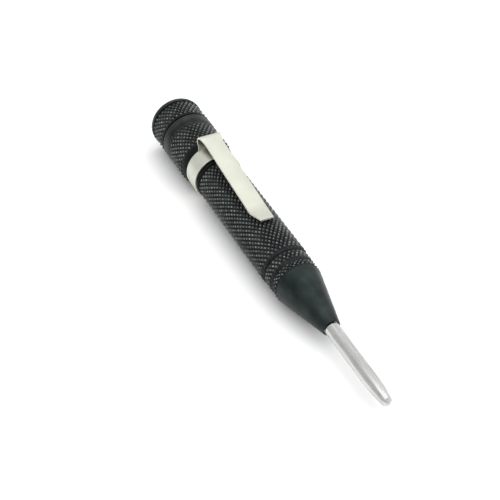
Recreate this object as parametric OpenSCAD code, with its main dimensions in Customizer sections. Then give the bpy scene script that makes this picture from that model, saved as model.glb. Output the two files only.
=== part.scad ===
// Automatic (spring-loaded) center punch with a pocket clip.
// It lies along X with the tip towards +X and the clip on top (+Z). The origin is under the
// middle of its length, on the surface that the cap rests on.
// Turned parts are drawn as profiles of [radius, station]: a station is the distance from the
// cap's end towards the tip. Threads are drawn as plain cylinders with a small clearance, and
// knurled bands as cylinders over the crests of the knurl.

/* [Adjusting cap] */
// Radius of the cap, over the knurl
cap_r = 7.95; // [7.9:0.05:8.5]
// Length of the knurled head of the cap
cap_len = 9.8; // [8:0.1:12]
// Radius of the rounded end of the cap
cap_round = 1.8; // [0.5:0.1:2.5]
// Open gap between the cap and the clip collar
cap_gap = 0.6; // [0.5:0.1:1.5]
// Length of the threaded spigot under the cap
spigot_len = 11.2; // [9:0.1:12]

/* [Clip collar] */
// Radius of the collar, over the knurl
collar_r = 7.88; // [7.5:0.01:7.9]
// Length of the collar that clamps the clip
collar_len = 15.55; // [14:0.05:18]
// Length of the tapered foot of the collar
collar_foot_len = 1.95; // [1:0.05:3]
// Radius of the foot where it meets the clip band
collar_foot_r = 7.3; // [7.2:0.05:7.5]

/* [Pocket clip] */
// Thickness of the stamped sheet
clip_t = 0.55; // [0.4:0.05:0.6]
// Width of the band around the barrel's neck
band_len = 5.95; // [5:0.05:7]
// Outside radius of the band
band_r = 7.2; // [7.15:0.01:7.25]
// Width of the arm
arm_w = 5.3; // [4.5:0.1:6]
// Width of the stem that joins the arm to the band
stem_w = 6.5; // [6:0.1:7]
// Width of the lip's end
lip_w = 3.6; // [3:0.1:4.5]
// Outside radius of the fold between the stem and the arm
fold_r = 2.2; // [1.8:0.1:2.4]
// Height of the fold's centre above the tool's axis
fold_h = 9; // [9:0.05:9.5]
// Height of the arm's outer face above the axis, at the crease
crease_h = 7.35; // [7.3:0.05:7.6]
// Length of the arm from the fold's centre to the crease
arm_len = 30.8; // [26:0.1:34]
// Length of the flared lip
lip_len = 5.3; // [4:0.1:6]
// Rise of the lip over its length
lip_rise = 0.95; // [0.5:0.05:1.5]

/* [Barrel] */
// Radius of the grip, over the knurl
barrel_r = 6.715; // [6.7:0.005:6.9]
// Length of the grip
barrel_len = 42.7; // [40:0.1:46]
// Radius of the seat for the clip band
band_seat_r = 6.55; // [6.4:0.05:6.6]
// Radius of the outside thread for the clip collar
neck_r = 6.0; // [5.9:0.05:6.2]
// Radius of the threaded bores, for the cap at one end and for the nose at the other
thread_r = 4.9; // [4.8:0.05:5]
// Radius of the bore that the hammer slides in
bore_r = 4.4; // [4.3:0.05:4.5]

/* [Nose] */
// Radius of the lock ring and of the nose band, over the knurl
nose_r = 6.52; // [6.4:0.01:6.6]
// Length of the lock ring
ring_len = 4.3; // [3.5:0.1:5]
// Length of the knurled band on the nose
nose_band_len = 2.7; // [2:0.1:3.5]
// Length of the cone
cone_len = 17.85; // [15:0.05:20]
// Radius of the cone where it leaves the knurled band
cone_r = 6.43; // [6.3:0.01:6.5]
// Radius of the cone at its front end
cone_end_r = 2.45; // [2.4:0.05:2.8]
// Length of the nose's threaded spigot, from the lock ring's rear face
nose_spigot_len = 8.5; // [7:0.1:9]
// Radius of the bore that the plunger slides in
plunger_bore_r = 3.6; // [3.5:0.05:3.7]

/* [Point] */
// Radius of the point's shank
point_r = 2.0; // [1.8:0.05:2.2]
// Length of the point outside the nose
point_out = 27.85; // [24:0.05:32]
// Length of the curved taper in front of the shank
ogive_len = 8.6; // [7:0.1:10]
// Radius at the front of the curved taper
ogive_end_r = 1.35; // [1:0.05:1.4]
// Length of the ground conical tip
tip_len = 0.9; // [0.6:0.05:1.2]
// Radius of the blunted end of the tip
tip_flat_r = 0.35; // [0.1:0.05:0.5]
// Length of the point inside the plunger
point_in = 5.9; // [5:0.1:6.5]

/* [Striking mechanism] */
// Stroke of the point and of the hammer
stroke = 8; // [6:0.1:8]
// Radial clearance of sliding parts
slide_clear = 0.05; // [0.02:0.01:0.08]
// Length of the plunger
plunger_len = 9.9; // [9:0.1:11]
// Radius of the joint pin's thick stem
stem_r = 1.25; // [1.1:0.05:1.4]
// Radius of the joint pin's thin end, which drops into the hammer
pin_r = 0.95; // [0.8:0.05:1]
// Radius of the joint pin's flange
flange_r = 2.9; // [2.6:0.1:3.1]
// Thickness of the joint pin's flange
flange_t = 1.45; // [1:0.05:2]
// Length of the centring bush
bush_len = 6; // [5:0.1:6]
// Radius of the throat of the centring bush
throat_r = 1.6; // [1.5:0.05:1.8]
// Length of the hammer
hammer_len = 16; // [14:0.1:17]
// Radius of the hole in the hammer
hammer_hole_r = 1.15; // [1.1:0.01:1.25]
// Thickness of the spring seat
seat_t = 1.45; // [1:0.05:2]

/* [Springs] */
// Wire diameter of the main spring
main_wire = 1.2; // [1:0.05:1.3]
// Mean radius of the main spring's coils
main_coil_r = 3.5; // [3.4:0.05:3.6]
// Number of turns of the main spring
main_turns = 8.5; // [7:0.5:9]
// Wire diameter of the return spring
return_wire = 0.5; // [0.4:0.05:0.6]
// Mean radius of the return spring at the bush
return_big_r = 3.15; // [3.1:0.05:3.2]
// Mean radius of the return spring at the joint pin
return_small_r = 2.2; // [2:0.05:2.4]
// Number of turns of the return spring
return_turns = 6.5; // [5:0.5:7]

/* [Hidden] */
$fn = 96;

black_oxide = "#26292a";
nickel = "#d8d8cc";
bright_steel = "#c4c6c8";
spring_steel = "#8c9096";

// Gap between the faces of parts that are screwed up against each other
seam = 0.05;
// Gap between a sliding part and its stop
stop_gap = 0.1;
// Radial clearance that stands for a thread
thread_clear = 0.03;
// Gap that lets the clip's fold turn over its stem when the arm is lifted
fold_gap = 0.4;
// Depth and width of the groove that parts the guided shank of the point from the free one
shank_groove = 0.2;
shank_groove_len = 0.8;
// Edge break on the parting lines of the nose
edge_break = 0.25;

// Stations along the axis, from the cap's end to the tip
s_collar = cap_len + cap_gap;
s_band = s_collar + collar_len + seam;
s_grip = s_band + band_len + seam;
s_ring = s_grip + barrel_len + seam;
s_nose = s_ring + ring_len + seam;
s_cone = s_nose + nose_band_len;
s_nose_end = s_cone + cone_len;
total_len = s_nose_end + point_out;
fold_s = s_band + 1.2;

// Stations of the mechanism
neck_top = s_collar + 1.1;
spigot_end = cap_len + spigot_len;
s_seat = spigot_end + seam;
cap_thread_end = neck_top + 12.5;
s_spring = s_seat + seat_t;
s_nose_spigot = s_ring - nose_spigot_len;
s_bush = s_nose_spigot - bush_len - 0.2;
s_bush_end = s_bush + bush_len;
s_hammer_face = s_bush - stop_gap;
s_hammer = s_hammer_face - hammer_len;
hammer_hole_depth = stroke + stop_gap;
plunger_stop = s_nose_end - 9.65;
s_plunger_end = plunger_stop - stop_gap;
s_plunger = s_plunger_end - plunger_len;
s_flange = s_plunger - seam - flange_t;
s_point = s_plunger_end - point_in;
s_shank_end = s_nose_end + point_out - tip_len - ogive_len;

// Pilots that centre the main spring on the seat and on the hammer
pilot_r = main_coil_r - main_wire / 2 - 0.2;
pilot_len = 1.5;
hammer_pilot_len = 3;

// Height of the axis above the surface that the cap rests on
axis_h = cap_r;

// Lays a part that is drawn around Z along the tool's axis
module on_axis() {
    translate([-total_len / 2, 0, axis_h])
        rotate([0, 90, 0])
            children();
}

// A turned part, from a profile of [radius, station] points
module turned(profile) {
    on_axis()
        rotate_extrude()
            polygon(profile);
}

// A plate across the tool, from a side outline of [station, height above the axis] points
module side_plate(outline, width) {
    translate([-total_len / 2, 0, axis_h])
        rotate([90, 0, 0])
            linear_extrude(height = width, center = true)
                polygon(outline);
}

// A tube across the tool, around a [station, height above the axis] centre
module across_tube(centre, r, wall, width) {
    translate([centre.x - total_len / 2, 0, axis_h + centre.y])
        rotate([90, 0, 0])
            difference() {
                cylinder(r = r, h = width, center = true);
                cylinder(r = r - wall, h = width + 1, center = true);
            }
}

// A tall block over a plan outline of [station, half width] points, mirrored about the axis
module plan_block(half_outline, height) {
    far_side = [for (i = [len(half_outline) - 1:-1:0]) [half_outline[i].x, -half_outline[i].y]];
    translate([-total_len / 2, 0, axis_h])
        linear_extrude(height = height)
            polygon(concat(half_outline, far_side));
}

// Points of an arc, from angle a0 to angle a1, in n steps
function arc(centre, r, a0, a1, n) = [
    for (i = [0:n]) let (a = a0 + (a1 - a0) * i / n) centre + r * [cos(a), sin(a)]
];

function unit_normal(p, q) = [p.y - q.y, q.x - p.x] / norm(q - p);

// Mitred normal of a path at its point i
function miter(path, i) =
    let (
        last = len(path) - 2,
        a = max(i - 1, 0),
        b = min(i, last),
        m = unit_normal(path[a], path[a + 1]) + unit_normal(path[b], path[b + 1])
    )
    2 * m / (m * m);

// Outline of a sheet of thickness t whose outer face follows the path
function sheet(path, t) = concat(
    path,
    [for (i = [len(path) - 1:-1:0]) path[i] - t * miter(path, i)]
);

// Height of a compression spring's wire at turn u: a closed turn at each end, even ones between
function coil_rise(u, turns, height, wire) =
    let (
        closed = wire * 1.05,
        open = (height - wire - 2 * closed) / (turns - 2)
    )
    u < 1 ? u * closed
    : u > turns - 1 ? height - wire - (turns - u) * closed
    : closed + (u - 1) * open;

// A compression spring around Z that stands on z = 0, with radius r0 below and r1 on top
module coil_spring(height, r0, r1, turns, wire, steps, sides) {
    rings = round(turns * steps);
    points = [
        for (i = [0:rings], k = [0:sides - 1])
            let (
                u = i / steps,
                a = 360 * u,
                b = 360 * k / sides,
                r = r0 + (r1 - r0) * i / rings + wire / 2 * cos(b),
                z = wire / 2 + coil_rise(u, turns, height, wire) + wire / 2 * sin(b)
            )
            [r * cos(a), r * sin(a), z]
    ];
    walls = [
        for (i = [0:rings - 1], k = [0:sides - 1])
            let (j = (k + 1) % sides, p = i * sides)
            [p + k, p + j, p + sides + j, p + sides + k]
    ];
    first_cap = [[for (k = [sides - 1:-1:0]) k]];
    last_cap = [[for (k = [0:sides - 1]) rings * sides + k]];
    polyhedron(points = points, faces = concat(walls, first_cap, last_cap));
}

// Knurled head with a rounded end, and the threaded spigot that loads the main spring
module adjusting_cap() {
    color(black_oxide)
        turned(concat(
            [[0, 0]],
            arc([cap_r - cap_round, cap_round], cap_round, -90, 0, 8),
            [
                [cap_r, cap_len - edge_break / 2],
                [cap_r - edge_break / 2, cap_len],
                [thread_r - thread_clear, cap_len],
                [thread_r - thread_clear, spigot_end - 0.4],
                [thread_r - thread_clear - 0.4, spigot_end],
                [0, spigot_end]
            ]
        ));
}

// Hard disc between the turning spigot and the main spring
module spring_seat() {
    color(bright_steel)
        turned([
            [0, s_seat],
            [bore_r - 2 * slide_clear, s_seat],
            [bore_r - 2 * slide_clear, s_spring],
            [pilot_r, s_spring],
            [pilot_r, s_spring + pilot_len - 0.4],
            [pilot_r - 0.4, s_spring + pilot_len],
            [0, s_spring + pilot_len]
        ]);
}

// Knurled sleeve, screwed on the barrel's neck, that clamps the clip band
module clip_collar() {
    foot = s_collar + collar_len - collar_foot_len;
    end = s_collar + collar_len;
    inner = neck_r + thread_clear;
    color(black_oxide)
        turned([
            [inner, s_collar],
            [collar_r - edge_break / 2, s_collar],
            [collar_r, s_collar + edge_break / 2],
            [collar_r, foot],
            [collar_r - 0.2, foot + collar_foot_len / 2],
            [collar_foot_r, end],
            [inner, end]
        ]);
}

// Band of the stamped clip, with the stem that rises from it and leans towards the cap
module clip_band() {
    rear_face = [
        [s_band, band_r - 1.4],
        [s_band, band_r + 0.3],
        [fold_s - fold_r, fold_h - fold_gap - 0.35],
        [fold_s - fold_r, fold_h - fold_gap]
    ];
    color(nickel)
        difference() {
            union() {
                on_axis()
                    translate([0, 0, s_band])
                        cylinder(r = band_r, h = band_len);
                side_plate(sheet(rear_face, clip_t), stem_w);
            }
            on_axis()
                translate([0, 0, s_band - 3])
                    cylinder(r = band_seat_r + seam, h = band_len + 6);
        }
}

// Springy arm of the clip: the fold over the stem, the sloping arm and the flared lip
module clip_arm() {
    centre = [fold_s, fold_h];
    crease = [fold_s + arm_len, crease_h];
    drop = fold_h - crease_h;
    slope = asin(fold_r / norm([arm_len, drop])) + atan(drop / arm_len);
    fold_end = centre + fold_r * [sin(slope), cos(slope)];
    outer_face = [fold_end, crease, crease + [lip_len, lip_rise]];
    reach = 2 * fold_r;
    fold_sector = [
        centre,
        centre + reach * [-1, 0],
        centre + reach * [-1, 1],
        centre + reach * [sin(slope), cos(slope)]
    ];
    color(nickel)
        intersection() {
            union() {
                side_plate(sheet(outer_face, clip_t), stem_w);
                intersection() {
                    across_tube(centre, fold_r, clip_t, stem_w);
                    side_plate(fold_sector, stem_w + 1);
                }
            }
            plan_block([
                [fold_s - fold_r - 1, stem_w / 2],
                [fold_s - 1, stem_w / 2],
                [fold_s + 2, arm_w / 2],
                [crease.x, arm_w / 2],
                [crease.x + lip_len + 1, lip_w / 2]
            ], fold_h + fold_r + 1);
        }
}

// Knurled tube: collar thread and clip seat behind, and bores from both ends
module barrel() {
    end = s_grip + barrel_len;
    lead = 0.35;
    color(black_oxide)
        turned([
            [thread_r, neck_top],
            [neck_r - lead, neck_top],
            [neck_r, neck_top + lead],
            [neck_r, s_band],
            [band_seat_r, s_band],
            [band_seat_r, s_grip],
            [barrel_r - lead / 2, s_grip],
            [barrel_r, s_grip + lead],
            [barrel_r, end - edge_break],
            [barrel_r - edge_break, end],
            [thread_r, end],
            [thread_r, s_bush - 0.02],
            [bore_r, s_bush - 0.02],
            [bore_r, cap_thread_end],
            [thread_r, cap_thread_end]
        ]);
}

// Heavy spring between the seat and the hammer
module main_spring() {
    play = 0.02;
    color(spring_steel)
        on_axis()
            translate([0, 0, s_spring + play])
                coil_spring(s_hammer - s_spring - 2 * play, main_coil_r, main_coil_r,
                    main_turns, main_wire, 20, 8);
}

// Sliding striker, with a hole that the joint pin drops into
module hammer() {
    r = bore_r - slide_clear;
    lead = 0.5;
    color(bright_steel)
        turned([
            [0, s_hammer - hammer_pilot_len],
            [pilot_r - lead, s_hammer - hammer_pilot_len],
            [pilot_r, s_hammer - hammer_pilot_len + lead],
            [pilot_r, s_hammer],
            [r - lead, s_hammer],
            [r, s_hammer + lead],
            [r, s_hammer_face - lead],
            [r - lead, s_hammer_face],
            [hammer_hole_r, s_hammer_face],
            [hammer_hole_r, s_hammer_face - hammer_hole_depth],
            [0, s_hammer_face - hammer_hole_depth]
        ]);
}

// Hardened bush whose tapered throat brings the canted joint pin back to the axis
module centring_bush() {
    land = 1.5;
    mouth_r = throat_r + 1.2;
    color(bright_steel)
        turned([
            [throat_r, s_bush],
            [thread_r - thread_clear, s_bush],
            [thread_r - thread_clear, s_bush_end],
            [mouth_r, s_bush_end],
            [mouth_r, s_bush_end - 0.6],
            [throat_r, s_bush + land]
        ]);
}

// Light conical spring that pushes the point out
module return_spring() {
    play = 0.02;
    color(spring_steel)
        on_axis()
            translate([0, 0, s_bush_end + play])
                coil_spring(s_flange - s_bush_end - 2 * play, return_big_r, return_small_r,
                    return_turns, return_wire, 16, 6);
}

// Stepped pin that pushes the hammer back until it lines up with the hammer's hole
module joint_pin() {
    heel_r = 1.5;
    heel_end = s_plunger + 2;
    tip = s_hammer_face;
    shoulder = tip + stroke + 1.2;
    color(bright_steel)
        turned([
            [0, tip],
            [pin_r - 0.3, tip],
            [pin_r, tip + 0.3],
            [pin_r, shoulder],
            [stem_r, shoulder + 0.3],
            [stem_r, s_flange],
            [flange_r, s_flange],
            [flange_r, s_flange + flange_t],
            [heel_r, s_flange + flange_t],
            [heel_r, heel_end - 0.5],
            [heel_r - 0.5, heel_end],
            [0, heel_end]
        ]);
}

// Sliding holder of the point: its front shoulder stops against the nose
module plunger() {
    r = plunger_bore_r - slide_clear;
    lead = 0.3;
    cup_r = 1.55;
    cup_end = s_plunger + 2.1;
    color(bright_steel)
        turned([
            [0, cup_end],
            [cup_r, cup_end],
            [cup_r, s_plunger],
            [r - lead, s_plunger],
            [r, s_plunger + lead],
            [r, s_plunger_end - lead],
            [r - lead, s_plunger_end],
            [point_r, s_plunger_end],
            [point_r, s_point],
            [0, s_point]
        ]);
}

// Hardened punch: straight shank, curved taper and a short ground cone
module point() {
    drop = point_r - ogive_end_r;
    curve_r = (ogive_len * ogive_len + drop * drop) / (2 * drop);
    half_angle = asin(ogive_len / curve_r);
    ogive = arc([point_r - curve_r, s_shank_end], curve_r, 0, half_angle, 8);
    groove_r = point_r - shank_groove;
    groove_end = s_nose_end + 0.35;
    color(bright_steel)
        turned(concat(
            [
                [0, s_point + seam],
                [point_r, s_point + seam],
                [point_r, groove_end - shank_groove_len],
                [groove_r, groove_end - shank_groove_len],
                [groove_r, groove_end],
                [point_r, groove_end]
            ],
            ogive,
            [[tip_flat_r, total_len], [0, total_len]]
        ));
}

// Knurled ring that locks the nose against the barrel
module nose_lock_ring() {
    end = s_ring + ring_len;
    inner = thread_r;
    color(black_oxide)
        turned([
            [inner, s_ring],
            [nose_r - edge_break, s_ring],
            [nose_r, s_ring + edge_break],
            [nose_r, end - edge_break],
            [nose_r - edge_break, end],
            [inner, end]
        ]);
}

// Tapered nose with a threaded spigot behind: it guides the plunger and the point
module nose_cone() {
    guide_r = point_r + slide_clear;
    end_round = 0.25;
    color(black_oxide)
        turned([
            [plunger_bore_r, s_nose_spigot],
            [thread_r - thread_clear, s_nose_spigot],
            [thread_r - thread_clear, s_nose],
            [nose_r - edge_break, s_nose],
            [nose_r, s_nose + edge_break],
            [nose_r, s_cone - 0.15],
            [cone_r - 0.05, s_cone],
            [cone_r, s_cone + 0.15],
            [cone_end_r, s_nose_end - end_round],
            [cone_end_r - end_round, s_nose_end],
            [guide_r, s_nose_end],
            [guide_r, plunger_stop],
            [plunger_bore_r, plunger_stop]
        ]);
}

adjusting_cap();
spring_seat();
clip_collar();
clip_band();
clip_arm();
barrel();
main_spring();
hammer();
centring_bush();
return_spring();
joint_pin();
plunger();
point();
nose_lock_ring();
nose_cone();
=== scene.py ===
"""Looks of the automatic center punch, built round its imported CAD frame.

Everything is in metres in the row frame: +X along the tool to the tip, +Z up with the clip on top.
A station is the distance from the cap's end towards the tip, as in the CAD.
"""
import math

import bpy
from mathutils import Matrix, Vector


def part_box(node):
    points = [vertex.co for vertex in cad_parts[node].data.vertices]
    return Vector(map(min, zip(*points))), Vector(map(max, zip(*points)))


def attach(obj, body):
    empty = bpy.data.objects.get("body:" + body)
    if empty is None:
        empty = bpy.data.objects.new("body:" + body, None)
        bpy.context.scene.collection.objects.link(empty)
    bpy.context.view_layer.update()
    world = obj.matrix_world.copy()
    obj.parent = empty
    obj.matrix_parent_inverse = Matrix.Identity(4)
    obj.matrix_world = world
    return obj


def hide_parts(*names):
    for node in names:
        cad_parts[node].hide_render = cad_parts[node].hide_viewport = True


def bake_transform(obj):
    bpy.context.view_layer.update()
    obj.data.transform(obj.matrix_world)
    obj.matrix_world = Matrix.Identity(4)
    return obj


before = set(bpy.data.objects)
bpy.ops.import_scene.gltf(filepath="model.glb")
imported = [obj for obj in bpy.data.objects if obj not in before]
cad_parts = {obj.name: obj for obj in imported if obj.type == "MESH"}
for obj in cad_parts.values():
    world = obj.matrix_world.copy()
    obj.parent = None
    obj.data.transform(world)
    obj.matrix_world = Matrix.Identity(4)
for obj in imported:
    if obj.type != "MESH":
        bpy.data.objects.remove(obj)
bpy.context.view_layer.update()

MM = 0.001
CAP_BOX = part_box("adjusting_cap")
COLLAR_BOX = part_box("clip_collar")
BAND_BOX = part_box("clip_band")
ARM_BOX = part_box("clip_arm")
BARREL_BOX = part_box("barrel")
RING_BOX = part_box("nose_lock_ring")
CONE_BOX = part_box("nose_cone")
POINT_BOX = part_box("point")

X_END = CAP_BOX[0].x
AXIS_Z = (CAP_BOX[0].z + CAP_BOX[1].z) / 2
KNURL_DEPTH = 0.38 * MM
# Round parts keep this far inside the CAD's radii, so that they stay within its box
SKIN = 0.004 * MM
SHARP_ANGLE = math.radians(35)
# Share of a knurl's pitch that its flat-topped diamonds keep at the crest
DIAMOND_TOP = 0.26


def station(x):
    return x - X_END


def radius(box):
    return (box[1].y - box[0].y) / 2 - SKIN


# ---------------------------------------------------------------- mesh helpers

def make_object(name, verts, faces, material):
    """A new mesh in the scene, smooth but for its edges over SHARP_ANGLE."""
    mesh = bpy.data.meshes.new(name)
    mesh.from_pydata(verts, [], faces)
    mesh.validate()
    mesh.update()
    mesh.shade_smooth()
    mesh.set_sharp_from_angle(angle=SHARP_ANGLE)
    obj = bpy.data.objects.new(name, mesh)
    bpy.context.scene.collection.objects.link(obj)
    mesh.materials.append(material)
    return obj


class Turned:
    """A turned part as one closed mesh: rings of equal count round the tool's axis."""

    def __init__(self, sides):
        self.sides = sides
        self.verts = []
        self.faces = []
        self.wear_and_glint = []

    def vertex(self, s, r, turn, wear_and_glint=0.0):
        angle = 2 * math.pi * turn / self.sides
        self.verts.append((X_END + s, r * math.sin(angle), AXIS_Z + r * math.cos(angle)))
        self.wear_and_glint.append(wear_and_glint)
        return len(self.verts) - 1

    def ring(self, s, r):
        """Vertices round the axis, or one shared vertex where the radius is 0."""
        if r == 0:
            return [self.vertex(s, 0, 0)] * self.sides
        return [self.vertex(s, r, i) for i in range(self.sides)]

    def join(self, a, b):
        """Walls from ring a to ring b, facing out where stations rise along the outside."""
        for i in range(self.sides):
            j = (i + 1) % self.sides
            corners = [a[i], b[i], b[j], a[j]]
            corners = [c for k, c in enumerate(corners) if c != corners[k - 1]]
            if len(corners) > 2:
                self.faces.append(corners)

    def knurl(self, first, s0, s1, crest, pitch, fade):
        """Diamond knurl from ring first at s0 to the ring that it returns at s1.

        Grooves meet where row + column is even, and a flat-topped diamond stands on the others.
        Over the length fade from s0 the grooves deepen from nothing.
        """
        rows = max(2, 2 * round((s1 - s0) / pitch))
        step = (s1 - s0) / rows
        lattice = [first]
        for row in range(1, rows):
            s = s0 + row * step
            root = crest - KNURL_DEPTH * (min(1.0, (s - s0) / fade) if fade else 1.0)
            lattice.append([
                self.vertex(s, root, col) if (row + col) % 2 == 0 else None
                for col in range(self.sides)
            ])
        lattice.append(self.ring(s1, crest - KNURL_DEPTH))
        for row in range(1, rows):
            s = s0 + row * step
            for col in range(self.sides):
                if (row + col) % 2 == 0:
                    continue
                here = [(row - 1, col), (row, col + 1), (row + 1, col), (row, col - 1)]
                low = [lattice[r][c % self.sides] for r, c in here]
                wear_and_glint = min(1.0, (s - s0) / fade) if fade else 1.0
                high = [
                    self.vertex(
                        s + (r - row) * DIAMOND_TOP * step,
                        crest,
                        col + (c - col) * DIAMOND_TOP,
                        wear_and_glint,
                    )
                    for r, c in here
                ]
                self.faces.append(list(reversed(high)))
                for k in range(4):
                    j = (k + 1) % 4
                    self.faces.append([low[j], low[k], high[k], high[j]])
        for row, inner in ((0, 1), (rows, rows - 1)):
            for col in range(self.sides):
                if (row + col) % 2 == 0:
                    continue
                left = lattice[row][(col - 1) % self.sides]
                right = lattice[row][(col + 1) % self.sides]
                middle = lattice[inner][col]
                centre = lattice[row][col]
                if row == 0:
                    self.faces += [[centre, left, middle], [right, centre, middle]]
                else:
                    self.faces += [[left, centre, middle], [centre, right, middle]]
        return lattice[-1]

    def build(self, name, material):
        obj = make_object(name, self.verts, self.faces, material)
        wear_and_glint = obj.data.attributes.new("wear_and_glint", "FLOAT", "POINT")
        wear_and_glint.data.foreach_set("value", self.wear_and_glint)
        return obj


def turned(name, sides, profile, material):
    """A turned part from (station, radius) points, starting at the rear on the outside.

    A point's third item (pitch, crest radius, length over which it fades in) knurls the stretch
    from it to the next point. The profile closes on itself unless it starts and ends on the axis.
    """
    part = Turned(sides)
    rings = []
    knurled = None
    for i, point in enumerate(profile):
        s, r = point[0], point[1]
        if knurled:
            pitch, crest, fade = knurled
            ring = part.knurl(rings[-1], profile[i - 1][0], s, crest, pitch, fade)
        else:
            ring = part.ring(s, r)
        if rings and not knurled:
            part.join(rings[-1], ring)
        knurled = point[2] if len(point) > 2 else None
        rings.append(ring)
    if profile[0][1] > 0 or profile[-1][1] > 0:
        part.join(rings[-1], rings[0])
    return part.build(name, material)


def paint(obj, material, is_painted):
    """Gives the material to the faces for which is_painted(face) holds."""
    obj.data.materials.append(material)
    index = len(obj.data.materials) - 1
    for face in obj.data.polygons:
        if is_painted(face):
            face.material_index = index


def face_station(face):
    return station(face.center.x)


def apply_modifiers(obj):
    bpy.context.view_layer.update()
    graph = bpy.context.evaluated_depsgraph_get()
    mesh = bpy.data.meshes.new_from_object(obj.evaluated_get(graph))
    obj.modifiers.clear()
    obj.data = mesh


def arc_points(centre, r, a0, a1, steps):
    """Points of (station, height) on an arc, angles in degrees."""
    angles = [math.radians(a0 + (a1 - a0) * i / steps) for i in range(steps + 1)]
    return [(centre[0] + r * math.cos(a), centre[1] + r * math.sin(a)) for a in angles]


# ---------------------------------------------------------------- materials

# A Mix node's inputs and output where it mixes colours
MIX_FACTOR, MIX_A, MIX_B = 0, 6, 7
MIX_RESULT = 2


class Nodes:
    """A small wrapper that adds shader nodes and links them."""

    def __init__(self, name, **values):
        self.material = bpy.data.materials.new(name)
        self.material.use_nodes = True
        self.tree = self.material.node_tree
        self.shader = self.tree.nodes["Principled BSDF"]
        for socket, value in values.items():
            self.shader.inputs[socket.replace("_", " ")].default_value = value

    def add(self, kind, **settings):
        node = self.tree.nodes.new(kind)
        for key, value in settings.items():
            setattr(node, key, value)
        return node

    def link(self, a, b):
        self.tree.links.new(a, b)

    def place(self, scale=(1, 1, 1)):
        """Object coordinates, scaled: a node's mesh lies in the row frame, in metres."""
        coords = self.add("ShaderNodeTexCoord")
        mapping = self.add("ShaderNodeMapping")
        mapping.inputs["Scale"].default_value = scale
        self.link(coords.outputs["Object"], mapping.inputs["Vector"])
        return mapping.outputs["Vector"]

    def noise(self, vector, scale, detail=3.0, roughness=0.55):
        node = self.add("ShaderNodeTexNoise")
        node.inputs["Scale"].default_value = scale
        node.inputs["Detail"].default_value = detail
        node.inputs["Roughness"].default_value = roughness
        self.link(vector, node.inputs["Vector"])
        return node.outputs["Fac"]

    def ramp(self, factor, stops):
        """Two stops of (position, grey or colour)."""
        node = self.add("ShaderNodeValToRGB")
        for i, (position, value) in enumerate(stops):
            element = node.color_ramp.elements[i]
            element.position = position
            colour = (value, value, value) if isinstance(value, (int, float)) else value
            element.color = (*colour, 1)
        self.link(factor, node.inputs["Fac"])
        return node.outputs["Color"]

    def mix(self, factor, a, b, blend="MIX"):
        """Mixes colours a and b, each a socket or a value, as the factor is."""
        node = self.add("ShaderNodeMix", data_type="RGBA", blend_type=blend)
        for value, index in ((factor, MIX_FACTOR), (a, MIX_A), (b, MIX_B)):
            if isinstance(value, bpy.types.NodeSocket):
                self.link(value, node.inputs[index])
            else:
                node.inputs[index].default_value = value if index == MIX_FACTOR else (*value, 1)
        return node.outputs[MIX_RESULT]

    def bump(self, height, strength, distance):
        node = self.add("ShaderNodeBump")
        node.inputs["Strength"].default_value = strength
        node.inputs["Distance"].default_value = distance
        self.link(height, node.inputs["Height"])
        self.link(node.outputs["Normal"], self.shader.inputs["Normal"])


def oxide(name, dark, light, rough, worn_and_glint=None):
    """Black oxide on steel: blotchy grey-green black, with bare metal on worn crests that is also a
    painted glint of the knurl's facets.
    """
    n = Nodes(name, Metallic=0.6, Specular_IOR_Level=0.3)
    place = n.place()
    blotch = n.noise(place, 260, 4)
    colour = n.mix(n.ramp(blotch, [(0.35, 0.0), (0.7, 1.0)]), dark, light)
    # Lighter crests: worn bare metal, partly a painted glint
    if worn_and_glint:
        crest = n.add("ShaderNodeAttribute", attribute_name="wear_and_glint")
        rubbed_and_glint = n.ramp(n.noise(place, 700, 3, 0.7), [(0.42, 0.16), (0.66, 1.0)])
        edge = n.ramp(crest.outputs["Fac"], [(0.55, 0.0), (1.0, 1.0)])
        colour = n.mix(n.mix(1.0, edge, rubbed_and_glint, "MULTIPLY"), colour, worn_and_glint)
    n.link(colour, n.shader.inputs["Base Color"])
    grain = n.noise(place, 2600, 3)
    n.link(n.ramp(grain, [(0.2, rough - 0.07), (0.8, rough + 0.1)]), n.shader.inputs["Roughness"])
    n.bump(grain, 0.25, 0.02 * MM)
    return n.material


def turned_oxide(name, dark, light, rough):
    """Smooth turned oxide: fine rings round the axis under the satin finish."""
    n = Nodes(name, Metallic=0.75, Specular_IOR_Level=0.35)
    colour = n.mix(n.ramp(n.noise(n.place(), 220, 4), [(0.35, 0.0), (0.7, 1.0)]), dark, light)
    n.link(colour, n.shader.inputs["Base Color"])
    rings = n.noise(n.place((1, 0.02, 0.02)), 9000, 2)
    n.link(n.ramp(rings, [(0.2, rough - 0.05), (0.8, rough + 0.06)]), n.shader.inputs["Roughness"])
    n.bump(rings, 0.12, 0.01 * MM)
    return n.material


def plated(name, dark, light, rough):
    """Satin nickel plate on sheet: soft cloudiness, fine brushing along the sheet."""
    n = Nodes(name, Metallic=1.0)
    cloud = n.noise(n.place(), 130, 4)
    brushed = n.noise(n.place((0.05, 1, 1)), 5200, 3)
    colour = n.mix(n.ramp(cloud, [(0.3, 0.0), (0.7, 1.0)]), dark, light)
    n.link(colour, n.shader.inputs["Base Color"])
    n.link(n.ramp(brushed, [(0.2, rough - 0.08), (0.8, rough + 0.1)]), n.shader.inputs["Roughness"])
    n.bump(brushed, 0.15, 0.012 * MM)
    return n.material


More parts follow.
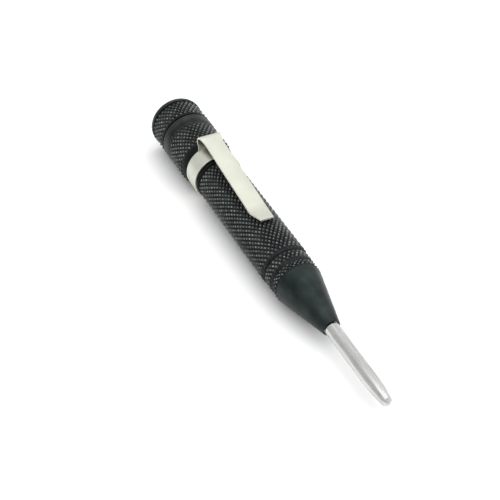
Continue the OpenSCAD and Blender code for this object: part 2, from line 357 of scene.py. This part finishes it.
def plated_in_painted_shade(name, low, high, rough, from_z, to_z):
    """Inner side of the clip: rougher plating with painted shade that gets browner and darker from
    from_z up to to_z, under the arm's fold.
    """
    n = Nodes(name, Metallic=1.0)
    place = n.place()
    parts = n.add("ShaderNodeSeparateXYZ")
    n.link(place, parts.inputs["Vector"])
    climb = n.add("ShaderNodeMapRange")
    climb.inputs["From Min"].default_value = from_z
    climb.inputs["From Max"].default_value = to_z
    n.link(parts.outputs["Z"], climb.inputs["Value"])
    colour = n.mix(climb.outputs["Result"], low, high)
    stain = n.ramp(n.noise(place, 500, 4), [(0.3, 0.75), (0.7, 1.0)])
    n.link(n.mix(1.0, colour, stain, "MULTIPLY"), n.shader.inputs["Base Color"])
    grain = n.noise(place, 4000, 3)
    n.link(n.ramp(grain, [(0.2, rough - 0.06), (0.8, rough + 0.1)]), n.shader.inputs["Roughness"])
    n.bump(grain, 0.15, 0.012 * MM)
    return n.material


def ground(name, dark, light, rough, along=True):
    """Ground or polished steel with streaks along or round the axis."""
    n = Nodes(name, Metallic=1.0)
    stretch = (0.03, 1, 1) if along else (1, 0.03, 0.03)
    streaks = n.noise(n.place(stretch), 2400, 4, 0.65)
    cloud = n.noise(n.place(), 300, 3)
    colour = n.mix(n.ramp(streaks, [(0.38, 0.0), (0.62, 1.0)]), dark, light)
    colour = n.mix(0.25, colour, n.ramp(cloud, [(0.3, dark), (0.7, light)]))
    n.link(colour, n.shader.inputs["Base Color"])
    n.link(n.ramp(streaks, [(0.25, rough - 0.06), (0.75, rough + 0.1)]), n.shader.inputs["Roughness"])
    n.bump(streaks, 0.18, 0.012 * MM)
    return n.material


# The knurl's lighter crests are worn metal and also painted glints
KNURLED = oxide("knurled_black_oxide", (0.006, 0.008, 0.008), (0.018, 0.023, 0.022), 0.38,
                worn_and_glint=(0.27, 0.29, 0.28))
# Near-black oxide as painted shade in the recesses beside the clip's band
PAINTED_SHADE_OXIDE = oxide("painted_shade_black_oxide", (0.002, 0.002, 0.003), (0.006, 0.007, 0.008), 0.6)
MATTE = oxide("matte_black_oxide", (0.014, 0.019, 0.018), (0.034, 0.042, 0.04), 0.46)
SATIN = turned_oxide("satin_black_oxide", (0.012, 0.018, 0.017), (0.027, 0.038, 0.036), 0.42)
NICKEL = plated("nickel_plate", (0.62, 0.63, 0.545), (0.7, 0.71, 0.625), 0.46)
# Painted shade on the clip's inner face, deepening into the fold under the arm
PAINTED_SHADE_NICKEL = plated_in_painted_shade("nickel_plate_painted_shade", (0.46, 0.45, 0.36), (0.02, 0.018, 0.01), 0.55,
                       from_z=AXIS_Z + 7.2 * MM, to_z=AXIS_Z + 9.6 * MM)
POLISHED = ground("polished_steel", (0.46, 0.46, 0.45), (0.68, 0.68, 0.67), 0.24)
GROUND = ground("ground_steel", (0.42, 0.43, 0.44), (0.66, 0.67, 0.68), 0.28, along=False)
SPRING = ground("spring_steel", (0.2, 0.21, 0.23), (0.38, 0.39, 0.42), 0.32, along=False)

# Inner parts that keep their CAD shape
for node in ("spring_seat", "hammer", "centring_bush", "joint_pin", "plunger"):
    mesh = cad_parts[node].data
    mesh.materials.clear()
    mesh.materials.append(GROUND)

# ---------------------------------------------------------------- camera

LENS = 90.4
SENSOR = 36.0
CAMERA_AZIMUTH = 64.73
CAMERA_ELEVATION = 40.26
CAMERA_DISTANCE = 330.0 * MM
LOOK_AT = Vector((0.1, -5.2, 7.5)) * MM


def make_camera():
    a, e = math.radians(CAMERA_AZIMUTH), math.radians(CAMERA_ELEVATION)
    back = Vector((math.sin(a) * math.cos(e), -math.cos(a) * math.cos(e), math.sin(e)))
    up = Vector((-math.sin(a) * math.sin(e), math.cos(a) * math.sin(e), math.cos(e)))
    right = up.cross(back)
    data = bpy.data.cameras.new("camera")
    data.lens = LENS
    data.sensor_width = SENSOR
    data.clip_start = 0.01
    data.clip_end = 10
    camera = bpy.data.objects.new("camera", data)
    bpy.context.scene.collection.objects.link(camera)
    axes = Matrix((right, up, back)).transposed()
    camera.matrix_world = Matrix.Translation(LOOK_AT + back * CAMERA_DISTANCE) @ axes.to_4x4()
    bpy.context.scene.camera = camera


make_camera()

# ---------------------------------------------------------------- turned parts

CAP_SIDES = 72
BARREL_SIDES = 64
KNURL_PITCH = 1.87 * MM
CAP_PITCH = 1.8 * MM
EDGE = 0.18 * MM
COLLAR_FOOT = 1.95 * MM
# Depth and width of the chamfers where the barrel, the lock ring and the nose meet
GAP_DEPTH = 0.3 * MM
GAP_WIDTH = 0.32 * MM


def adjusting_cap():
    """Knurled cap with a rounded end and a threaded spigot."""
    r = radius(CAP_BOX)
    root = r - KNURL_DEPTH
    end = station(CAP_BOX[1].x)
    head = 9.8 * MM
    round_r = 1.8 * MM
    thread = 4.87 * MM
    valley = thread - 0.5 * MM
    pitch = 1.0 * MM
    knurl_start = 2.5 * MM
    profile = [(0, 0), (0, 2.4 * MM), (0, r - round_r)]
    profile += [(s, h) for s, h in arc_points((round_r, r - round_r), round_r, 180, 92, 8)][1:]
    profile += [
        (knurl_start - 0.15 * MM, r),
        (knurl_start, root, (CAP_PITCH, r, 0.0)),
        (9.5 * MM, root),
        (9.58 * MM, r - 0.08 * MM),
        (head - 0.05 * MM, r - 0.08 * MM),
        (head, r - EDGE),
        (head, thread - 0.6 * MM),
        (head + 1.6 * MM, thread - 0.6 * MM),
    ]
    turns = int((end - head - 2.4 * MM) / pitch)
    for i in range(turns):
        s = head + (2.0 + i) * MM
        profile += [(s, valley), (s + 0.5 * pitch, thread)]
    profile += [(end - 0.1 * MM, valley), (end, valley - 0.3 * MM), (end, 0)]
    cap = turned("adjusting_cap_knurled", CAP_SIDES, profile, KNURLED)
    paint(cap, MATTE, lambda face: face_station(face) < knurl_start - 0.1 * MM)
    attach(cap, "cap")
    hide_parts("adjusting_cap")


def clip_collar():
    """Sleeve behind the clip: plain band, knurl that fades in, and a smooth tapered foot."""
    r = radius(COLLAR_BOX)
    root = r - KNURL_DEPTH
    rear = station(COLLAR_BOX[0].x)
    front = station(COLLAR_BOX[1].x)
    inner = 6.03 * MM
    foot = front - COLLAR_FOOT
    plain_end = rear + 2.2 * MM
    collar = turned("clip_collar_knurled", CAP_SIDES, [
        (rear, inner + EDGE),
        (rear, r - 0.06 * MM),
        (rear + 0.06 * MM, r),
        (plain_end, r - 0.01 * MM, (CAP_PITCH, r, 3.0 * MM)),
        (foot - 0.1 * MM, root),
        (foot + 0.1 * MM, root - 0.02 * MM),
        (foot + 0.9 * MM, root - 0.04 * MM),
        (front - 0.1 * MM, 7.32 * MM),
        (front, 7.25 * MM),
        (front, inner + EDGE),
        (front - EDGE, inner),
        (rear + EDGE, inner),
    ], KNURLED)
    paint(collar, MATTE, lambda face: rear + 0.05 * MM < face_station(face) < plain_end)
    # Painted shade: the foot, in the recess behind the clip's band, goes near-black
    paint(collar, PAINTED_SHADE_OXIDE, lambda face: face_station(face) > foot - 0.05 * MM)
    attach(collar, "housing")
    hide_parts("clip_collar")


def barrel():
    """Knurled tube with a plain rear chamfer, the clip's seat and the collar's neck."""
    r = radius(BARREL_BOX)
    root = r - KNURL_DEPTH
    rear = station(BARREL_BOX[0].x)
    front = station(BARREL_BOX[1].x)
    seat_end = station(BAND_BOX[1].x) + 0.05 * MM
    seat_start = station(COLLAR_BOX[1].x) + 0.05 * MM
    neck = 5.98 * MM
    seat = 6.54 * MM
    bush = station(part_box("centring_bush")[0].x) - 0.02 * MM
    bore = 4.4 * MM
    thread = 4.9 * MM
    thread_end = rear + 12.5 * MM
    tube = turned("barrel_knurled", BARREL_SIDES, [
        (rear, thread),
        (rear, neck - 2 * EDGE),
        (rear + 2 * EDGE, neck),
        (seat_start, neck),
        (seat_start, seat),
        (seat_end, seat),
        (seat_end, r - 0.35 * MM),
        (seat_end + 0.35 * MM, r - 0.06 * MM),
        (seat_end + 0.8 * MM, r),
        (seat_end + 1.1 * MM, r),
        (seat_end + 1.3 * MM, root, (KNURL_PITCH, r, 0.0)),
        (front - GAP_WIDTH, root),
        (front, root - GAP_DEPTH),
        (front, thread),
        (bush, thread),
        (bush, bore),
        (thread_end, bore),
        (thread_end, thread),
    ], KNURLED)
    # Painted shade: the rear chamfer, in the recess by the clip's band, goes near-black
    paint(tube, PAINTED_SHADE_OXIDE, lambda face: face_station(face) < seat_end + 1.2 * MM)
    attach(tube, "housing")
    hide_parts("barrel")


def nose_lock_ring():
    """Lock ring, knurled from chamfer to chamfer."""
    r = radius(RING_BOX)
    root = r - KNURL_DEPTH
    rear = station(RING_BOX[0].x)
    front = station(RING_BOX[1].x)
    inner = 4.9 * MM
    ring = turned("nose_lock_ring_knurled", BARREL_SIDES, [
        (rear, inner),
        (rear, root - GAP_DEPTH),
        (rear + GAP_WIDTH, root, (KNURL_PITCH, r, 0.0)),
        (front - GAP_WIDTH, root),
        (front, root - GAP_DEPTH),
        (front, inner),
    ], KNURLED)
    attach(ring, "housing")
    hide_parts("nose_lock_ring")


def nose_cone():
    """Nose: threaded spigot, short knurled band and a smooth cone, with the point's bore."""
    r = radius(CONE_BOX)
    root = r - KNURL_DEPTH
    rear = station(CONE_BOX[0].x)
    front = station(CONE_BOX[1].x)
    cone_length = 17.85 * MM
    cone = front - cone_length
    band = cone - 2.7 * MM
    band_pitch = 1.2 * MM
    thread = 4.86 * MM
    guide = 2.05 * MM
    bore = 3.6 * MM
    stop = front - 9.65 * MM
    wide = 6.42 * MM
    narrow = 2.45 * MM
    lip = 0.25 * MM
    slope = (wide + 0.01 * MM - narrow) / (cone_length - lip)
    body = turned("nose_cone_band", BARREL_SIDES, [
        (rear, bore),
        (rear, thread - EDGE),
        (rear + EDGE, thread),
        (band, thread),
        (band, root - GAP_DEPTH),
        (band + GAP_WIDTH, root, (band_pitch, r, 0.0)),
        (cone - 0.1 * MM, root),
        (cone + 0.05 * MM, root + 0.02 * MM),
        (cone + 0.2 * MM, 6.4 * MM),
        (cone + 6 * MM, wide - 5.85 * MM * slope),
        (cone + 12 * MM, wide - 11.85 * MM * slope),
        (front - lip, narrow),
        (front - 0.07 * MM, 2.38 * MM),
        (front, 2.22 * MM),
        (front, guide + 0.08 * MM),
        (front - 0.15 * MM, guide),
        (stop, guide),
        (stop, bore),
    ], SATIN)
    paint(body, KNURLED, lambda face: face_station(face) < cone)
    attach(body, "housing")
    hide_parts("nose_cone")


def point():
    """Hardened point: guided shank, groove, free shank, curved taper and ground cone."""
    shank = 2.0 * MM - SKIN
    rear = station(POINT_BOX[0].x)
    end = station(POINT_BOX[1].x)
    tip = end - 0.9 * MM
    taper = tip - 8.6 * MM
    free = taper - 18.0 * MM
    drop = shank - 1.35 * MM
    length = tip - taper
    curve = (length * length + drop * drop) / (2 * drop)
    groove = shank - 0.2 * MM
    profile = [(rear, 0), (rear, shank - EDGE), (rear + EDGE, shank)]
    profile += [
        (free - 0.8 * MM, shank),
        (free - 0.75 * MM, groove),
        (free - 0.05 * MM, groove),
        (free, shank),
        (free + 6 * MM, shank),
        (free + 12 * MM, shank),
    ]
    steps = 10
    for i in range(steps + 1):
        reach = length * i / steps
        profile.append((taper + reach, shank - curve + math.sqrt(curve * curve - reach * reach)))
    profile += [(end - 0.08 * MM, 0.42 * MM), (end, 0.3 * MM), (end, 0)]
    body = turned("point_polished", 64, profile, POLISHED)
    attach(body, "punch")
    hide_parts("point")


def coil_spring(node, r0, r1, wire, turns):
    """Round-wire spring with closed ends in a CAD spring's place."""
    low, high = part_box(node)
    rear, front = station(low.x), station(high.x)
    closed = 1.05 * wire
    pitch = (front - rear - wire - 2 * closed) / (turns - 2)
    thick = wire / 2 - SKIN
    steps, sides = round(turns * 32), 12
    verts, faces = [], []
    for i in range(steps + 1):
        turn = turns * i / steps
        left = turns - turn
        rise = min(turn, 1) * closed + (1 - min(left, 1)) * closed
        rise += (min(max(turn, 1), turns - 1) - 1) * pitch
        for k in range(sides):
            a, b = 2 * math.pi * turn, 2 * math.pi * k / sides
            r = r0 + (r1 - r0) * i / steps + thick * math.cos(b)
            s = rear + wire / 2 + rise + thick * math.sin(b)
            verts.append((X_END + s, r * math.sin(a), AXIS_Z + r * math.cos(a)))
    for i in range(steps):
        for k in range(sides):
            p, q = i * sides + k, i * sides + (k + 1) % sides
            faces.append([p, q, q + sides, p + sides])
    faces.append(list(reversed(range(sides))))
    faces.append([steps * sides + k for k in range(sides)])
    spring = make_object(node + "_wire", verts, faces, SPRING)
    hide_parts(node)
    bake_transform(spring)


adjusting_cap()
clip_collar()
barrel()
nose_lock_ring()
nose_cone()
point()
coil_spring("main_spring", 3.5 * MM, 3.5 * MM, 1.2 * MM, 8.5)
coil_spring("return_spring", 3.15 * MM, 2.2 * MM, 0.5 * MM, 6.5)


# ---------------------------------------------------------------- pocket clip

SHEET = 0.55 * MM
FOLD_R = 2.2 * MM
BAND_R = 7.2 * MM - SKIN
STEM_HALF = 3.25 * MM
ARM_HALF = 2.65 * MM
LIP_HALF = 1.8 * MM
CROWN = 0.3 * MM
BAND_REAR = station(BAND_BOX[0].x) + 1.0 * MM
FOLD = (station(ARM_BOX[0].x) + FOLD_R, ARM_BOX[1].z - AXIS_Z - FOLD_R)
CREASE = (FOLD[0] + 30.8 * MM, 7.35 * MM)
LIP = (station(ARM_BOX[1].x), CREASE[1] + 0.95 * MM)


def along(a, b, steps):
    """Points from a to b, without a itself."""
    return [
        (a[0] + (b[0] - a[0]) * i / steps, a[1] + (b[1] - a[1]) * i / steps)
        for i in range(1, steps + 1)
    ]


def clip_rows():
    """Rows of the strip from its root in the band to the lip.

    Each row is (station, height of the outer face, half width, sag, crown): sag is how far the
    row follows the band's curve, and crown how far the strip's edges bend down.
    """
    drop = FOLD[1] - CREASE[1]
    reach = CREASE[0] - FOLD[0]
    slope = math.degrees(math.asin(FOLD_R / math.hypot(reach, drop)) + math.atan(drop / reach))
    bend = 0.9 * MM
    root = 6.62 * MM
    rows = [(BAND_REAR + 1.6 * MM, root, 3.7 * MM, 1.0, 0.0)]
    corner = arc_points((BAND_REAR + bend, root + bend), bend, 270, 180, 5)
    for i, (s, h) in enumerate(corner):
        rows.append((s, h, (3.6 - 0.04 * i) * MM, 1.0 - 0.1 * i, 0.0))
    low = (FOLD[0] - FOLD_R, FOLD[1] - 0.6 * MM)
    for i, (s, h) in enumerate(along(corner[-1], low, 4)):
        left = (3 - i) / 4
        rows.append((s, h, STEM_HALF + 0.12 * MM * left ** 2, 0.5 * left, 0.0))
    fold = arc_points(FOLD, FOLD_R, 180, 90 - slope, 14)
    for s, h in fold + along(fold[-1], CREASE, 16):
        t = min(1.0, max(0.0, (s - FOLD[0] + 1.0 * MM) / (3.0 * MM)))
        rows.append((s, h, STEM_HALF + (ARM_HALF - STEM_HALF) * t, 0.0, CROWN * t))
    for s, h in along(CREASE, LIP, 6):
        t = (s - CREASE[0]) / (LIP[0] - CREASE[0])
        rows.append((s, h, ARM_HALF + (LIP_HALF - ARM_HALF) * t, 0.0, CROWN * (1 - t)))
    return rows


def clip_strip():
    """Stem, fold, crowned arm and lip of the stamped clip, as one bent sheet."""
    rows = clip_rows()
    across = 14
    verts, top, low = [], [], []
    for i, (s, h, half, sag, crown) in enumerate(rows):
        before, after = rows[max(i - 1, 0)], rows[min(i + 1, len(rows) - 1)]
        run = Vector((after[0] - before[0], after[1] - before[1])).normalized()
        out = Vector((-run.y, run.x))
        top_row, low_row = [], []
        for j in range(across + 1):
            share = 2 * j / across - 1
            y = half * share
            fall = sag * (BAND_R - math.sqrt(BAND_R ** 2 - y * y))
            for row, depth in ((top_row, 0.0), (low_row, SHEET)):
                inset = crown * share ** 2 + depth
                row.append(len(verts))
                verts.append((X_END + s - out.x * inset, y, AXIS_Z + h - out.y * inset - fall))
        top.append(top_row)
        low.append(low_row)
    inner = {v for row in low for v in row}
    faces = []
    for i in range(len(rows) - 1):
        for j in range(across):
            faces.append([top[i][j], top[i + 1][j], top[i + 1][j + 1], top[i][j + 1]])
            faces.append([low[i][j], low[i][j + 1], low[i + 1][j + 1], low[i + 1][j]])
        faces.append([top[i][0], low[i][0], low[i + 1][0], top[i + 1][0]])
        faces.append([top[i][-1], top[i + 1][-1], low[i + 1][-1], low[i][-1]])
    for j in range(across):
        faces.append([top[0][j], top[0][j + 1], low[0][j + 1], low[0][j]])
        faces.append([top[-1][j], low[-1][j], low[-1][j + 1], top[-1][j + 1]])
    strip = make_object("clip_strip", verts, faces, NICKEL)
    # The sheet's inner faces take the painted shade
    paint(strip, PAINTED_SHADE_NICKEL, lambda face: all(v in inner for v in face.vertices))
    bevel = strip.modifiers.new("edges", "BEVEL")
    bevel.width = 0.09 * MM
    bevel.segments = 2
    bevel.limit_method = "ANGLE"
    bevel.angle_limit = math.radians(50)
    apply_modifiers(strip)
    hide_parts("clip_arm")
    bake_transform(strip)


def clip_band():
    """Band of the clip round the barrel's neck."""
    rear = BAND_REAR
    front = station(BAND_BOX[1].x)
    inner = 6.6 * MM
    edge = 0.12 * MM
    band = turned("clip_band_ring", 96, [
        (rear, inner + edge),
        (rear, BAND_R - edge),
        (rear + edge, BAND_R),
        (front - edge, BAND_R),
        (front, BAND_R - edge),
        (front, inner + edge),
        (front - edge, inner),
        (rear + edge, inner),
    ], NICKEL)
    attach(band, "housing")
    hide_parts("clip_band")


clip_strip()
clip_band()

# ---------------------------------------------------------------- floor and light

FLOOR_SIZE = 8
FLOOR_GAP = 0.03 * MM
WORLD_STRENGTH = 1.0
# From and to, in a direction's Y or Z, and the brightness at each
TENT_ACROSS = (-0.5, 0.15, 0.68, 1.0)
TENT_HEIGHT = (0.0, 0.2, 0.85, 1.0)


def make_floor():
    """Pale floor just under the front of the collar's knurl and the barrel's front end."""
    rear = Vector((COLLAR_BOX[1].x - COLLAR_FOOT, 0, COLLAR_BOX[0].z))
    front = Vector((BARREL_BOX[1].x - 0.3 * MM, 0, BARREL_BOX[0].z))
    lean = math.atan2(front.z - rear.z, front.x - rear.x)
    bpy.ops.mesh.primitive_plane_add(size=FLOOR_SIZE)
    floor = bpy.context.object
    floor.name = "floor"
    turn = Matrix.Rotation(-lean, 4, "Y")
    floor.matrix_world = Matrix.Translation(rear - Vector((0, 0, FLOOR_GAP))) @ turn
    n = Nodes("studio_floor", Roughness=0.9)
    tint = n.ramp(n.noise(n.place(), 3, 2), [(0.3, (0.93, 0.93, 0.935)), (0.7, (0.95, 0.95, 0.95))])
    n.link(tint, n.shader.inputs["Base Color"])
    floor.data.materials.append(n.material)


def area_light(name, place, size, power):
    """Square light that points at the tool's middle."""
    data = bpy.data.lights.new(name, "AREA")
    data.energy = power
    data.size = size
    light = bpy.data.objects.new(name, data)
    bpy.context.scene.collection.objects.link(light)
    light.location = place
    light.rotation_euler = (-Vector(place)).to_track_quat("-Z", "Y").to_euler()


def make_world():
    """A light tent, dimmer on the tool's -Y side and low down, so that metal shows contrast."""
    world = bpy.data.worlds.new("studio")
    bpy.context.scene.world = world
    world.use_nodes = True
    tree = world.node_tree
    background = tree.nodes["Background"]
    background.inputs["Strength"].default_value = WORLD_STRENGTH
    coords = tree.nodes.new("ShaderNodeTexCoord")
    parts = tree.nodes.new("ShaderNodeSeparateXYZ")
    across = tree.nodes.new("ShaderNodeMapRange")
    height = tree.nodes.new("ShaderNodeMapRange")
    for node, values in ((across, TENT_ACROSS), (height, TENT_HEIGHT)):
        node.interpolation_type = "SMOOTHSTEP"
        for socket, value in zip(("From Min", "From Max", "To Min", "To Max"), values):
            node.inputs[socket].default_value = value
    both = tree.nodes.new("ShaderNodeMath")
    both.operation = "MULTIPLY"
    tree.links.new(coords.outputs["Generated"], parts.inputs["Vector"])
    tree.links.new(parts.outputs["Y"], across.inputs["Value"])
    tree.links.new(parts.outputs["Z"], height.inputs["Value"])
    tree.links.new(across.outputs["Result"], both.inputs[0])
    tree.links.new(height.outputs["Result"], both.inputs[1])
    tree.links.new(both.outputs["Value"], background.inputs["Color"])


make_floor()
make_world()
area_light("key", (0.1, 0.4, 0.7), size=0.8, power=1.8)
area_light("top", (0.2, -0.15, 0.9), size=1.2, power=5.5)
# The usual display curve would grey the white floor
bpy.context.scene.view_settings.view_transform = "Standard"
